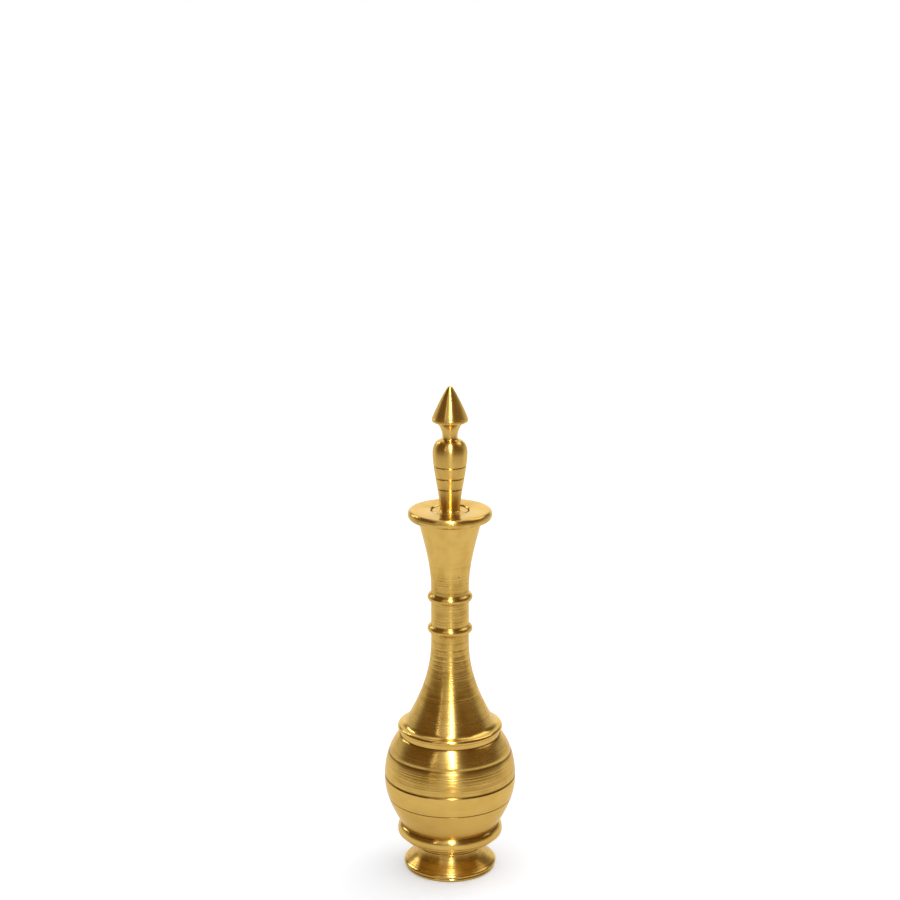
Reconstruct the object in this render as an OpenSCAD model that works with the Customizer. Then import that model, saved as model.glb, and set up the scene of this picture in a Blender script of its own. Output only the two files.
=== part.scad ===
// Turned brass kohl container: a foot that screws into the bottom of a bottle, and a
// stopper with a slender rod that screws into its mouth. All sizes are in millimetres, and
// the origin is the middle of the foot's underside.

/* [Foot] */
// Widest diameter of the spool foot
foot_d = 25; // [22:0.5:28]
// Height of the rounded edge that the foot stands on
foot_edge_h = 2.1; // [1.8:0.1:2.5]
// Diameter of the narrow waist of the foot
waist_d = 16.6; // [14:0.2:18]
// Height of the waist above the ground
waist_z = 5.9; // [5.2:0.1:6.2]
// Diameter of the small bead above the waist
waist_bead_d = 18.2; // [17:0.1:19]
// Diameter of the flange that the bottle sits on
seat_d = 26; // [25.8:0.1:27]
// Height of the bottle's seat above the ground
seat_z = 9.9; // [9.4:0.1:11]
// Height of the spigot that carries the thread
spigot_h = 4.1; // [3.6:0.1:4.4]
// Diameter inside the cup that catches loose powder
cup_d = 20.6; // [18:0.2:21.4]
// Depth of the cup
cup_depth = 5; // [3:0.1:5.2]

/* [Bottle] */
// Height of the bottle from its seat to its mouth
bottle_h = 91.2; // [88:0.2:96]
// Diameter of the ring round the bottom of the bottle
ring_d = 28.4; // [28:0.1:29]
// Widest diameter of the bulb
bulb_d = 35.5; // [33:0.5:38]
// Height of the widest place of the bulb above the seat
bulb_mid_z = 16.1; // [15:0.1:17]
// Diameter of the bulb just above the bottom ring
bulb_low_d = 26.3; // [26.1:0.1:27]
// Diameter of the bulb at its shoulder
bulb_top_d = 27.3; // [27:0.1:28]
// Height of the bulb's shoulder above the seat
bulb_top_z = 28.7; // [28.4:0.1:29]
// Outer diameter of the sloped collar between bulb and neck
collar_d = 28.2; // [27.8:0.1:28.6]
// Height of the collar's widest place above the seat
collar_z = 30.6; // [30.5:0.1:31]
// Diameter of the neck between its two rings
neck_d = 10.1; // [9.2:0.1:11]
// Outer diameter of the neck's two rings
neck_ring_d = 12; // [11.4:0.1:13]
// Height of the lower neck ring above the seat
low_ring_z = 58.4; // [57:0.1:60]
// Height of the upper neck ring above the seat
high_ring_z = 67.2; // [66:0.1:69]
// Outer diameter of the mouth flange
mouth_d = 22.3; // [21.5:0.1:24]
// Thickness of the mouth flange
mouth_t = 2.7; // [2.4:0.1:3]
// Diameter of the trumpet where it meets the flange
trumpet_d = 16.8; // [15:0.2:17]

/* [Hollow of the bottle] */
// Thickness of the bulb's wall
wall_t = 1.8; // [1.5:0.1:2.2]
// Diameter of the bore that the foot screws into
low_bore_d = 25; // [24.6:0.1:25.2]
// Depth of the bore that the foot screws into
low_bore_depth = 4.9; // [4.5:0.1:5.2]
// Diameter of the bore through the neck
neck_bore_d = 6; // [5:0.1:6.4]
// Diameter of the socket in the mouth
socket_d = 10.2; // [10:0.1:10.6]
// Depth of the socket in the mouth
socket_depth = 7.2; // [7.2:0.1:7.8]

/* [Stopper] */
// Height of the stopper's grip above the mouth of the bottle
grip_h = 33.4; // [30:0.2:36]
// Diameter of the pointed finial
finial_d = 9.5; // [8:0.1:10]
// Length of the finial's pointed top
finial_h = 8.8; // [8:0.1:9.6]
// Diameter of the thin neck under the finial
finial_neck_d = 4; // [3.6:0.1:5]
// Distance of the thin neck below the tip
finial_neck_t = 14.1; // [13.6:0.1:14.6]
// Diameter of the baluster's shoulder
baluster_d = 9.2; // [8:0.1:10]
// Distance of the baluster's widest place below the tip
baluster_t = 18; // [17.6:0.1:18.6]
// Diameter of the baluster where it meets the plug
baluster_low_d = 5.2; // [4.8:0.1:6]
// Diameter of the threaded plug
plug_d = 9.7; // [9:0.1:9.8]
// Length of the plug inside the socket
plug_len = 6.7; // [6.4:0.1:6.8]
// Diameter between the plug's two threads
plug_core_d = 7.5; // [7:0.1:8]

/* [Rod] */
// Diameter of the rod
rod_d = 2.5; // [2.2:0.1:2.6]
// Length of the rod below the plug
rod_len = 76.1; // [74:0.1:78]
// Diameter of the bead at the end of the rod
bead_d = 3.85; // [3.2:0.05:4.2]
// Length of the pointed end of the rod
point_len = 5; // [4:0.1:6]
// Length of the rod that is fixed inside the stopper
rod_grip = 14; // [10:0.5:18]

/* [Hidden] */
$fn = 96;

// Colours of the polished brass and of the duller brass of the rod
brass = "#c9a23c";
dull_brass = "#b8913a";

// Gaps of the two round fits: the foot's spigot in the bottle, and the rod in the stopper
spigot_gap = 0.08;
rod_gap = 0.05;

mouth_z = seat_z + bottle_h;
tip_z = mouth_z + grip_h;
plug_z = mouth_z - plug_len;
rod_tip_z = plug_z - rod_len;

// Number of straight steps that stand for one curve of an outline
curve_steps = 12;
bead_steps = 8;

// Points of a cubic curve from a to d, pulled towards b and c, without its first point
function curve(a, b, c, d, steps = curve_steps) = [
    for (i = [1 : steps]) let (t = i / steps, u = 1 - t)
        u * u * u * a + 3 * u * u * t * b + 3 * u * t * t * c + t * t * t * d
];

// Points of an arc round the centre c, from one angle to another
function arc(c, r, from, to, steps = bead_steps) = [
    for (i = [0 : steps]) let (a = from + (to - from) * i / steps)
        c + r * [cos(a), sin(a)]
];

// Radius of an outline at a height, where its heights rise or fall all the way
function radius_at(outline, z) = lookup(z, [for (p = outline) [p[1], p[0]]]);

// Shallow groove turned into a surface: its radius there, height, width and depth
module turned_groove(r, z, w, depth) {
    rotate_extrude()
        translate([r + w / 2 - depth, z]) circle(d = w, $fn = 24);
}

// Outline of the foot from the middle of its underside to the rim of its spigot
foot_round = 1.1;
foot_tread_r = foot_d / 2 - foot_round;
foot_step_r = foot_d / 2 - 1;
waist_r = waist_d / 2;
waist_bead_r = waist_bead_d / 2;
waist_bead_h = 1.1;
bowl_z = waist_z + waist_bead_h + 0.2;
seat_edge = 0.5;
spigot_r = low_bore_d / 2 - spigot_gap;
spigot_chamfer = 0.4;
rim_z = seat_z + spigot_h;
cup_z = rim_z - cup_depth;
cup_round = 0.9;

function foot_edge() = concat(
    [[0, 0], [foot_tread_r, 0]],
    arc([foot_tread_r, foot_round], foot_round, -80, 50, 6),
    [[foot_step_r, foot_edge_h]]
);

function foot_spool() = curve(
    [foot_step_r, foot_edge_h],
    [foot_step_r - 1.6, foot_edge_h + 1.1],
    [waist_r, foot_edge_h + 1.9],
    [waist_r, waist_z]
);

function foot_bowl() = concat(
    arc(
        [waist_bead_r - waist_bead_h / 2, waist_z + waist_bead_h / 2],
        waist_bead_h / 2, -90, 80, 6),
    [[waist_bead_r - 0.5, bowl_z]],
    curve(
        [waist_bead_r - 0.5, bowl_z],
        [waist_bead_r + 0.5, bowl_z + 0.2],
        [seat_d / 2 - 1.9, seat_z - 1.7],
        [seat_d / 2 - seat_edge, seat_z - 2 * seat_edge], 8),
    arc([seat_d / 2 - seat_edge, seat_z - seat_edge], seat_edge, -60, 90, 6)
);

module foot() {
    color(brass)
    difference() {
        rotate_extrude()
            polygon(concat(
                foot_edge(), foot_spool(), foot_bowl(),
                [
                    [spigot_r, seat_z],
                    [spigot_r, rim_z - spigot_chamfer],
                    [spigot_r - spigot_chamfer, rim_z],
                    [0, rim_z]
                ]));
        rotate_extrude()
            polygon(concat(
                [[0, cup_z]],
                arc([cup_d / 2 - cup_round, cup_z + cup_round], cup_round, -90, 0, 4),
                [[cup_d / 2, rim_z + 1], [0, rim_z + 1]]));
    }
}

// Outer outline of the bottle, from its seat to its mouth
ring_round = 0.7;
ring_cove_z = 3.1;
bulb_r = bulb_d / 2;
bulb_low_r = bulb_low_d / 2;
bulb_top_r = bulb_top_d / 2;
band_z = bulb_top_z + 0.15;
band_r = bulb_top_r - 0.25;
band_h = 0.95;
collar_round = 0.75;
collar_r = collar_d / 2 - collar_round;
collar_slope_angle = 55;
collar_slope_r = collar_r + collar_round * cos(collar_slope_angle);
collar_slope_z = collar_z + collar_round * sin(collar_slope_angle);
cone_z = collar_z + 1.75;
cone_r = collar_r - 1.65;
neck_r = neck_d / 2;
neck_low_z = low_ring_z - 3.3;
neck_ring_round = 1.05;
trumpet_low_z = high_ring_z + 2.4;
flange_z = bottle_h - mouth_t;
flange_low_round = 1;
flange_top_round = 1.3;
trumpet_r = trumpet_d / 2;

function bottle_ring() = concat(
    arc([ring_d / 2 - ring_round, ring_round], ring_round, -90, 0, 6),
    curve(
        [ring_d / 2, ring_round],
        [ring_d / 2, ring_cove_z - 1.1],
        [ring_d / 2 - 0.35, ring_cove_z - 0.55],
        [bulb_low_r + 0.2, ring_cove_z - 0.3], 8),
    [[bulb_low_r, ring_cove_z]]
);

function bulb_curve() = concat(
    curve(
        [bulb_low_r, ring_cove_z],
        [bulb_low_r + 2.1, ring_cove_z + 3.9],
        [bulb_r, bulb_mid_z - 5],
        [bulb_r, bulb_mid_z]),
    curve(
        [bulb_r, bulb_mid_z],
        [bulb_r, bulb_mid_z + 4.4],
        [bulb_top_r + 3.1, bulb_top_z - 3.4],
        [bulb_top_r, bulb_top_z])
);

function collar_curve() = concat(
    [[band_r, band_z], [band_r, band_z + band_h]],
    arc([collar_r, collar_z], collar_round, -60, collar_slope_angle),
    curve(
        [collar_slope_r, collar_slope_z],
        [collar_slope_r - 0.6, collar_slope_z + 0.5],
        [cone_r + 0.8, cone_z - 0.15],
        [cone_r + 0.2, cone_z - 0.05], 6)
);

function neck_bead(z) = arc([neck_ring_d / 2 - neck_ring_round, z], neck_ring_round, -65, 65);

function neck_curve() = concat(
    [[cone_r, cone_z]],
    curve(
        [cone_r, cone_z],
        [cone_r - 4.05, cone_z + 7.45],
        [neck_r, neck_low_z - 8.6],
        [neck_r, neck_low_z]),
    neck_bead(low_ring_z),
    neck_bead(high_ring_z)
);

function mouth_curve() = concat(
    [[neck_r, trumpet_low_z]],
    curve(
        [neck_r, trumpet_low_z],
        [neck_r, trumpet_low_z + 7],
        [trumpet_r - 1.2, flange_z - 5.3],
        [trumpet_r, flange_z]),
    arc([mouth_d / 2 - flange_low_round, flange_z + flange_low_round], flange_low_round, -90, 0, 6),
    arc([mouth_d / 2 - flange_top_round, bottle_h - flange_top_round], flange_top_round, 0, 90, 6)
);

// Grooves that run round the bulb: height, width and depth of each
bulb_grooves = [[11, 0.5, 0.14], [16.9, 0.7, 0.25], [23.2, 0.8, 0.22]];

// Hollow of the bottle: the foot's bore, the bulb's inside, the neck's bore and the socket
hollow_low_r = low_bore_d / 2 - 0.6;
hollow_r = bulb_r - wall_t;
dome_r = bulb_top_r - wall_t;
dome_z = bulb_top_z - 0.4;
neck_bore_r = neck_bore_d / 2;
throat_z = dome_z + 8.4;
socket_z = bottle_h - socket_depth;
socket_chamfer = 0.35;

function hollow_curve() = concat(
    [[0, -1], [low_bore_d / 2, -1], [low_bore_d / 2, low_bore_depth], [hollow_low_r, low_bore_depth]],
    curve(
        [hollow_low_r, low_bore_depth],
        [hollow_low_r + 1.8, low_bore_depth + 3],
        [hollow_r, bulb_mid_z - 4.4],
        [hollow_r, bulb_mid_z], 8),
    curve(
        [hollow_r, bulb_mid_z],
        [hollow_r, bulb_mid_z + 4.1],
        [dome_r + 2, dome_z - 4],
        [dome_r, dome_z], 8),
    curve(
        [dome_r, dome_z],
        [dome_r - 3, dome_z + 4],
        [neck_bore_r + 1.5, throat_z - 3.4],
        [neck_bore_r, throat_z], 8),
    [[neck_bore_r, socket_z], [socket_d / 2, socket_z], [socket_d / 2, bottle_h - socket_chamfer]],
    [
        [socket_d / 2 + socket_chamfer, bottle_h],
        [socket_d / 2 + socket_chamfer, bottle_h + 1],
        [0, bottle_h + 1]
    ]
);

module bottle() {
    color(brass)
    translate([0, 0, seat_z])
    difference() {
        rotate_extrude()
            polygon(concat(
                [[0, 0]],
                bottle_ring(), bulb_curve(), collar_curve(), neck_curve(), mouth_curve(),
                [[0, bottle_h]]));
        rotate_extrude() polygon(hollow_curve());
        for (g = bulb_grooves)
            turned_groove(radius_at(bulb_curve(), g[0]), g[0], g[1], g[2]);
    }
}

// Outline of the stopper, from its tip down to the nose round the rod. Each point is a
// radius and a distance below the tip.
finial_r = finial_d / 2;
finial_rim = 0.7;
finial_neck_r = finial_neck_d / 2;
baluster_r = baluster_d / 2;
baluster_low_r = baluster_low_d / 2;
plug_r = plug_d / 2;
plug_core_r = plug_core_d / 2;
plug_top_t = grip_h + 0.2;
disc_t = 1.7;
low_disc_t = 3.3;
plug_end_t = grip_h + plug_len;
nose_r = 3.9;
nose_end_r = 1.65;
nose_len = 3.2;
plug_chamfer = 0.3;
rod_r = rod_d / 2;

function finial_curve() = concat(
    [[0, 0], [0.35, 0.15]],
    curve(
        [0.35, 0.15],
        [1.6, 1.2],
        [finial_r - 0.9, finial_h - 2.2],
        [finial_r, finial_h - 0.3]),
    [[finial_r, finial_h + 0.2], [finial_r - 0.25, finial_h + finial_rim]],
    curve(
        [finial_r - 0.25, finial_h + finial_rim],
        [finial_r - 1.9, finial_h + 1.7],
        [finial_neck_r + 0.1, finial_neck_t - 2.2],
        [finial_neck_r, finial_neck_t])
);

function baluster_curve() = concat(
    [[finial_neck_r + 0.1, finial_neck_t + 0.4]],
    curve(
        [finial_neck_r + 0.1, finial_neck_t + 0.4],
        [finial_neck_r + 1.9, finial_neck_t + 0.6],
        [baluster_r, baluster_t - 2],
        [baluster_r, baluster_t], 8),
    curve(
        [baluster_r, baluster_t],
        [baluster_r, baluster_t + 4],
        [baluster_low_r + 0.5, grip_h - 6],
        [baluster_low_r, grip_h], 10)
);

function plug_curve() = [
    [baluster_low_r, plug_top_t],
    [plug_r - plug_chamfer, plug_top_t],
    [plug_r, plug_top_t + plug_chamfer],
    [plug_r, plug_top_t + disc_t - plug_chamfer],
    [plug_core_r, plug_top_t + disc_t + 0.4],
    [plug_core_r, plug_end_t - low_disc_t - 0.4],
    [plug_r - 0.15, plug_end_t - low_disc_t + plug_chamfer],
    [plug_r - 0.15, plug_end_t - 1.2],
    [plug_r - 0.6, plug_end_t],
    [nose_r, plug_end_t]
];

function nose_curve() = curve(
    [nose_r, plug_end_t],
    [nose_r - 1.5, plug_end_t + 0.3],
    [nose_end_r + 0.1, plug_end_t + 1],
    [nose_end_r, plug_end_t + nose_len], 8);

// Distance of each fine groove of the baluster below the tip
baluster_grooves = [21.4, 24.6, 27.6];
fine_groove_w = 0.4;
fine_groove_depth = 0.12;

module stopper() {
    color(brass)
    difference() {
        translate([0, 0, tip_z]) mirror([0, 0, 1])
            rotate_extrude()
                polygon(concat(
                    finial_curve(), baluster_curve(), plug_curve(), nose_curve(),
                    [[0, plug_end_t + nose_len]]));
        for (t = baluster_grooves)
            turned_groove(radius_at(baluster_curve(), t), tip_z - t, fine_groove_w, fine_groove_depth);
        translate([0, 0, plug_z - nose_len - 1])
            cylinder(r = rod_r + rod_gap, h = nose_len + 1 + rod_grip);
    }
}

// Outline of the rod, from its point up to the end inside the stopper
bead_r = bead_d / 2;
bead_back = 2.2;

function rod_curve() = concat(
    [[0, 0], [0.25, 0.1]],
    curve(
        [0.25, 0.1],
        [0.7, 1.2],
        [bead_r, point_len - 1.9],
        [bead_r, point_len - 0.4], 8),
    curve(
        [bead_r, point_len - 0.4],
        [bead_r, point_len + 0.5],
        [rod_r + 0.15, point_len + bead_back - 0.6],
        [rod_r, point_len + bead_back], 6),
    [[rod_r, rod_len + rod_grip - 0.2], [rod_r - 0.2, rod_len + rod_grip], [0, rod_len + rod_grip]]
);

module rod() {
    color(dull_brass)
    translate([0, 0, rod_tip_z])
        rotate_extrude() polygon(rod_curve());
}

foot();
bottle();
stopper();
rod();
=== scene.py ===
"""A turned brass kohl container: its foot, bottle, stopper and applicator rod, on a pale floor."""

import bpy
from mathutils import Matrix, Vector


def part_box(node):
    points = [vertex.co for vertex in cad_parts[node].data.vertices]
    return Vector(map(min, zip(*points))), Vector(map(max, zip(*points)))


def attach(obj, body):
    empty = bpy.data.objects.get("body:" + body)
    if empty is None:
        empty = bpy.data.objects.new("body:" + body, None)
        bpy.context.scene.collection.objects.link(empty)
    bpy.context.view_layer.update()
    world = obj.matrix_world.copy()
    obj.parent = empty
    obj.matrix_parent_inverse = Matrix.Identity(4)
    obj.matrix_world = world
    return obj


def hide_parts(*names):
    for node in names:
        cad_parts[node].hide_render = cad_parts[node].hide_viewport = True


bl_info = {
    "name": "Turned Brass Kohl Container",
    "version": (1, 0, 0),
    "blender": (4, 5, 0),
    "location": "View3D > Sidebar > Kohl Container",
    "description": "Turns the pieces of a brass kohl container and sets them on a studio floor",
    "category": "Object",
}

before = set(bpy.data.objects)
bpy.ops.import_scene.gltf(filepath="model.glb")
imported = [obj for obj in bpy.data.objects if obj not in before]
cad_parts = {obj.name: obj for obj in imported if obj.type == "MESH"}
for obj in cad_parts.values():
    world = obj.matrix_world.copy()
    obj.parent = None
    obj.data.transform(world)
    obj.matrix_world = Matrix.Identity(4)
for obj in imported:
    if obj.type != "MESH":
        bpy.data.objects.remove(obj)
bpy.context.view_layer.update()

import math

import bmesh
import bpy
from bpy.props import FloatProperty, FloatVectorProperty, IntProperty, PointerProperty
from mathutils import Vector
from mathutils.geometry import interpolate_bezier

MM = 0.001

FOOT_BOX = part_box("foot")
BOTTLE_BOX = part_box("bottle")
STOPPER_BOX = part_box("stopper")
ROD_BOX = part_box("rod")

# Heights that the pieces share, in metres above the floor
SEAT_Z = BOTTLE_BOX[0].z
MOUTH_Z = BOTTLE_BOX[1].z
RIM_Z = FOOT_BOX[1].z
TIP_Z = STOPPER_BOX[1].z
ROD_LOW_Z = ROD_BOX[0].z
ROD_HIGH_Z = ROD_BOX[1].z

# Widest radii in the CAD model, in metres
FLANGE_R = FOOT_BOX[1].x
BULB_R = BOTTLE_BOX[1].x
PLUG_R = STOPPER_BOX[1].x
BEAD_R = ROD_BOX[1].x

# How the pieces are turned, with lengths in metres
MERGE_DISTANCE = 1e-7
SHARP_ANGLE = math.radians(38.0)
STOPPER_STEPS = 120
ROD_STEPS = 64
POINTS_ON_FLANK = 4
FLANK_CURVE = 1.2
WALL_TOLERANCE = 1e-6
THREAD_RUN_OUT = 0.3 * MM

# Turning marks on the foot: height above the floor in millimetres, and strength
FOOT_MARKS = (
    (0.0, 0.3), (1.9, 0.3), (2.2, 1.0), (5.6, 0.9), (5.8, 0.3), (7.6, 0.4), (8.9, 0.4), (9.4, 0.7),
)

# Heights on the bottle above its seat, in millimetres
BULB_MIDDLE = 16.1
SHOULDER_Z = 28.7
COLLAR_Z = 30.6
CONE_Z = 32.42
NECK_Z = 55.1
NECK_RINGS = (58.4, 67.2)
TRUMPET_Z = 69.6
LOW_BORE_END = 4.9
CHAMBER_TOP = 36.7

# Grooves and fine scores of the bottle: height, upper flank, lower flank and depth
BULB_CUTS = ((11.0, 0.25, 0.2, 0.13), (16.8, 0.6, 0.35, 0.24), (23.8, 0.7, 0.85, 0.22))
SCORES = (
    *((z, 0.16, 0.16, 0.035) for z in (21.9, 21.2, 20.3, 18.9)),
    *((z, 0.4, 0.35, 0.035) for z in (53.3, 51.7, 50.2, 49.2)),
    *((z, 0.2, 0.2, 0.022) for z in (48.5, 47.9, 47.2, 46.5, 45.9, 45.2)),
)

# Dark lines on the bottle, grimy film together with painted shade in its grooves, notches and the
# cove above the ring: height and half width
BOTTLE_DIRT_AND_SHADE = ((11.0, 0.14), (16.7, 0.25), (23.5, 0.3), (28.76, 0.13), (30.08, 0.14), (3.0, 0.22))

# Turning marks on the bottle: height and strength
BOTTLE_MARKS = (
    (0, 0.2), (2.8, 0.05), (10.8, 0.06), (16.6, 0.15), (17.2, 0.8), (23, 0.75), (28.4, 0.5),
    (28.8, 0.08), (32.2, 0.1), (32.8, 0.6), (42, 1.0), (54, 0.9), (57, 0.75), (70, 0.8), (75, 0.4),
    (79, 0.15), (88, 0.05), (88.6, 0.9), (90.6, 0.9),
)
MOUTH_MARKS = 0.12

# The mouth, in millimetres below its face
SOCKET_DEPTH = 7.2
MOUTH_THREAD = (4.2, 0.8)

# Distances on the stopper below its tip, in millimetres. Its cuts, dark lines and marks are given
# as the bottle's are, and its dark lines are grimy film together with painted shade.
THROAT_T = 13.8
SHOULDER_T = 18.0
WAIST_T = 33.0
PLUG_T = 33.6
THREAD_T = (34.8, 37.2)
NOSE_T = 43.3
ROD_BORE = 1.3
GRIP_CUTS = tuple((t, 0.2, 0.3, 0.12) for t in (21.4, 24.6, 27.6))
STOPPER_DIRT_AND_SHADE = ((21.4, 0.13), (24.6, 0.13), (27.6, 0.13), (34.75, 0.3), (37.3, 0.2))
STOPPER_MARKS = (
    (43.6, 0.1), (41.4, 0.3), (40.2, 0.75), (34.2, 0.75), (33.4, 0.2), (32.6, 0.1), (15.6, 0.06),
    (9.6, 0.05), (0, 0.1),
)

# Noise in rings round the axis: rings in a metre, and how fast they change on the way round
COARSE_RINGS = (1000.0, 0.14)
FINE_RINGS = (2600.0, 0.3)
HAIR_RINGS = (8000.0, 5.0)
PATCH_RINGS = (300.0, 2.4)
SMEAR_SCALE = 190.0

# Levels of that noise, or of the strength of the marks, between which a thing comes in or goes
COARSE_EDGE = (0.38, 0.5)
FINE_EDGE = (0.36, 0.47)
PATCH_EDGE = (0.35, 0.65)
TARNISH_EDGE = (0.4, 0.65)
PITTED_EDGE = (0.3, 0.6)

# How far each kind of mark stands out: for a strength of 1, and always
COARSE_RELIEF = (1.0, 0.02)
FINE_RELIEF = (0.8, 0.01)
HAIR_RELIEF = (0.04, 0.004)
PIT_RELIEF = 2.0

# The dark film: how far it covers the brass in pits, grooves and marks. In the grooves it is
# grimy film together with painted shade.
PIT_DARKNESS = 0.9
DIRT_AND_SHADE_DARKNESS = 0.7
SCORE_DARKNESS = 0.28
DIRT_AND_SHADE_CORE = 0.4
PIT_CORE, PIT_EDGE = 0.03, 0.075

# Roughness that the finest marks and the dark film add
HAIR_ROUGHNESS = 0.06
DARK_ROUGHNESS = 0.15
COAT_ROUGHNESS = 0.25

# What the inside of a hollow changes, and what its wall changes besides. The paler tone inside is a
# painted highlight, weaker on the wall.
HOLLOW_MARKS = 0.4
HOLLOW_ROUGHNESS, WALL_ROUGHNESS = 0.08, 0.03
HOLLOW_SHEEN, WALL_SHEEN = 0.85, -0.35
WALL_ANISOTROPY = -0.35
PITS_OUTSIDE = 0.25
WALL_RISE = (0.5 * MM, 1.2 * MM)

# The room that the metal sees. Each part has a brightness, and edges between which it comes in or
# goes: azimuths from straight in front, or heights on the unit sphere. The part behind widens by
# BEHIND_TURN as the height rises, and the part overhead is weighed by Y and Z to lean to the back.
GLOW, GLOW_EDGE = 0.35, (math.radians(10.0), math.radians(32.0))
BESIDE, BESIDE_EDGE = 0.65, (math.radians(88.0), math.radians(118.0))
BESIDE_TOP = (0.15, 0.5)
BEHIND, BEHIND_EDGE = 1.3, (math.radians(120.0), math.radians(158.0))
BEHIND_TURN, BEHIND_RISE = math.radians(-20.0), (0.1, 0.4)
OVERHEAD, OVERHEAD_EDGE = 1.3, (0.9, 0.975)
OVERHEAD_Y, OVERHEAD_Z = 0.342, 0.94

# Where the floor grows dim for the metal: metres from the container, and cosine of the angle from
# straight in front
FLOOR_FAR = (0.25, 0.7)
FLOOR_FRONT = (-0.6, 0.2)

# Lamps that only the metal shows: share of the strip's power, and size and place in metres
GLOSS_LAMPS = {
    "strip": (1.0, (0.13, 1.9), (0.065, -0.75, 1.15)),
    "panel": (0.042, (0.5, 1.3), (-0.3, -0.87, 0.85)),
    "thin strip": (0.02, (0.05, 0.8), (-0.6, -0.87, 0.7)),
    "high strip": (0.05, (0.12, 0.35), (-0.56, 0.6, 0.62)),
}
KEY_SIZE, KEY_PLACE = (0.7, 0.5), (0.6, 0.5, 1.0)
LAMP_TARGET = (0, 0, 0.06)
SENSOR_WIDTH = 36.0


def length(label, text, millimetres):
    """A length that the user can change, given in millimetres and kept in metres."""
    return FloatProperty(
        name=label, description=text, default=millimetres * MM, min=0.0, precision=5, unit="LENGTH"
    )


def colour(label, text, value):
    """A colour that the user can change."""
    return FloatVectorProperty(
        name=label, description=text, default=value, min=0.0, max=1.0, size=3, subtype="COLOR"
    )


def number(label, text, value, top=10.0):
    """A plain number that the user can change."""
    return FloatProperty(name=label, description=text, default=value, min=0.0, max=top)


class FootSizes(bpy.types.PropertyGroup):
    """Sizes of the spool foot with its cup and thread."""

    edge_radius: length("Edge radius", "Radius of the foot's round standing edge", 12.5)
    waist_radius: length("Waist radius", "Radius of the narrow waist", 8.3)
    waist_height: length("Waist height", "Height of the waist above the ground", 5.9)
    bead_radius: length("Bead radius", "Radius of the small bead above the waist", 9.1)
    cup_radius: length("Cup radius", "Inner radius of the cup", 10.3)
    cup_depth: length("Cup depth", "Depth of the cup below its rim", 5.0)
    root_radius: length("Thread root", "Radius at the bottom of the thread", 11.82)
    thread_height: length("Thread height", "How far the thread stands out of its root", 0.58)
    thread_pitch: length("Thread pitch", "Rise of the foot's thread in one turn", 1.6)


class BottleSizes(bpy.types.PropertyGroup):
    """Sizes of the bottle."""

    ring_radius: length("Ring radius", "Radius of the ring round the bottom", 14.2)
    low_radius: length("Low radius", "Radius of the bulb just above that ring", 13.15)
    shoulder_radius: length("Shoulder radius", "Radius of the bulb under its collar", 13.65)
    collar_radius: length("Collar radius", "Radius of the sloped collar", 14.1)
    cone_radius: length("Cone radius", "Radius of the neck where it leaves the collar", 11.75)
    neck_radius: length("Neck radius", "Radius of the neck between its rings", 5.05)
    neck_ring_radius: length("Neck ring radius", "Radius of the rings round the neck", 6.0)
    trumpet_radius: length("Trumpet radius", "Radius of the trumpet under the flange", 8.4)
    mouth_radius: length("Mouth radius", "Radius of the mouth's flange", 11.15)
    flange_thickness: length("Flange thickness", "Thickness of the mouth's flange", 2.7)
    socket_radius: length("Socket radius", "Radius of the socket in the mouth", 5.1)
    bore_radius: length("Bore radius", "Radius of the bore through the neck", 3.0)
    low_bore_radius: length("Low bore radius", "Radius of the bore that takes the foot", 12.5)
    wall: length("Wall", "Thickness of the bulb's wall", 1.8)


class StopperSizes(bpy.types.PropertyGroup):
    """Sizes of the stopper."""

    finial_radius: length("Finial radius", "Radius of the pointed finial", 4.75)
    throat_radius: length("Throat radius", "Radius of the thin neck under the finial", 2.0)
    baluster_radius: length("Baluster radius", "Radius of the baluster's shoulder", 4.6)
    waist_radius: length("Waist radius", "Radius of the baluster where it meets the plug", 2.6)
    root_radius: length("Thread root", "Radius at the bottom of the plug's thread", 3.75)
    thread_height: length("Thread height", "How far the plug's thread stands out", 1.0)
    thread_pitch: length("Thread pitch", "Rise of the plug's thread in one turn", 2.6)


class RodSizes(bpy.types.PropertyGroup):
    """Sizes of the applicator rod."""

    radius: length("Radius", "Radius of the rod", 1.25)
    point: length("Point", "Length of the pointed end", 5.0)


class BrassFinish(bpy.types.PropertyGroup):
    """Colours and turning marks of the brass."""

    bright: colour("Bright brass", "Colour of clean brass", (0.68, 0.44, 0.11))
    warm: colour("Warm brass", "Colour of brass that has begun to tarnish", (0.55, 0.325, 0.06))
    # Dark film in pits and turning marks, and painted shade in the grooves' dark lines
    grime_and_shade: colour("Grime", "Colour of the dark film in grooves and pits", (0.13, 0.06, 0.006))
    glancing: colour("Glancing", "Colour of the brass seen at a glancing angle", (0.97, 0.87, 0.64))
    # Paler brass: a painted highlight inside the foot's cup, and a plainly paler tone on the rod
    pale_and_sheen: colour("Pale brass", "Colour of the cup's inside and of the rod", (0.86, 0.65, 0.24))
    polish: number("Polish", "Roughness where the brass is smooth", 0.2, 1.0)
    coarseness: number("Coarseness", "Roughness that the turning marks add", 0.1, 1.0)
    lacquer: number("Lacquer", "Weight of the thin clear film over the brass", 0.15, 1.0)
    anisotropy: number("Anisotropy", "How far the marks draw highlights out", 0.85, 1.0)
    mark_depth: length("Mark depth", "Depth of the turning marks", 0.09)
    pit_spacing: length("Pit spacing", "Distance between the casting pits", 3.2)


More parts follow.
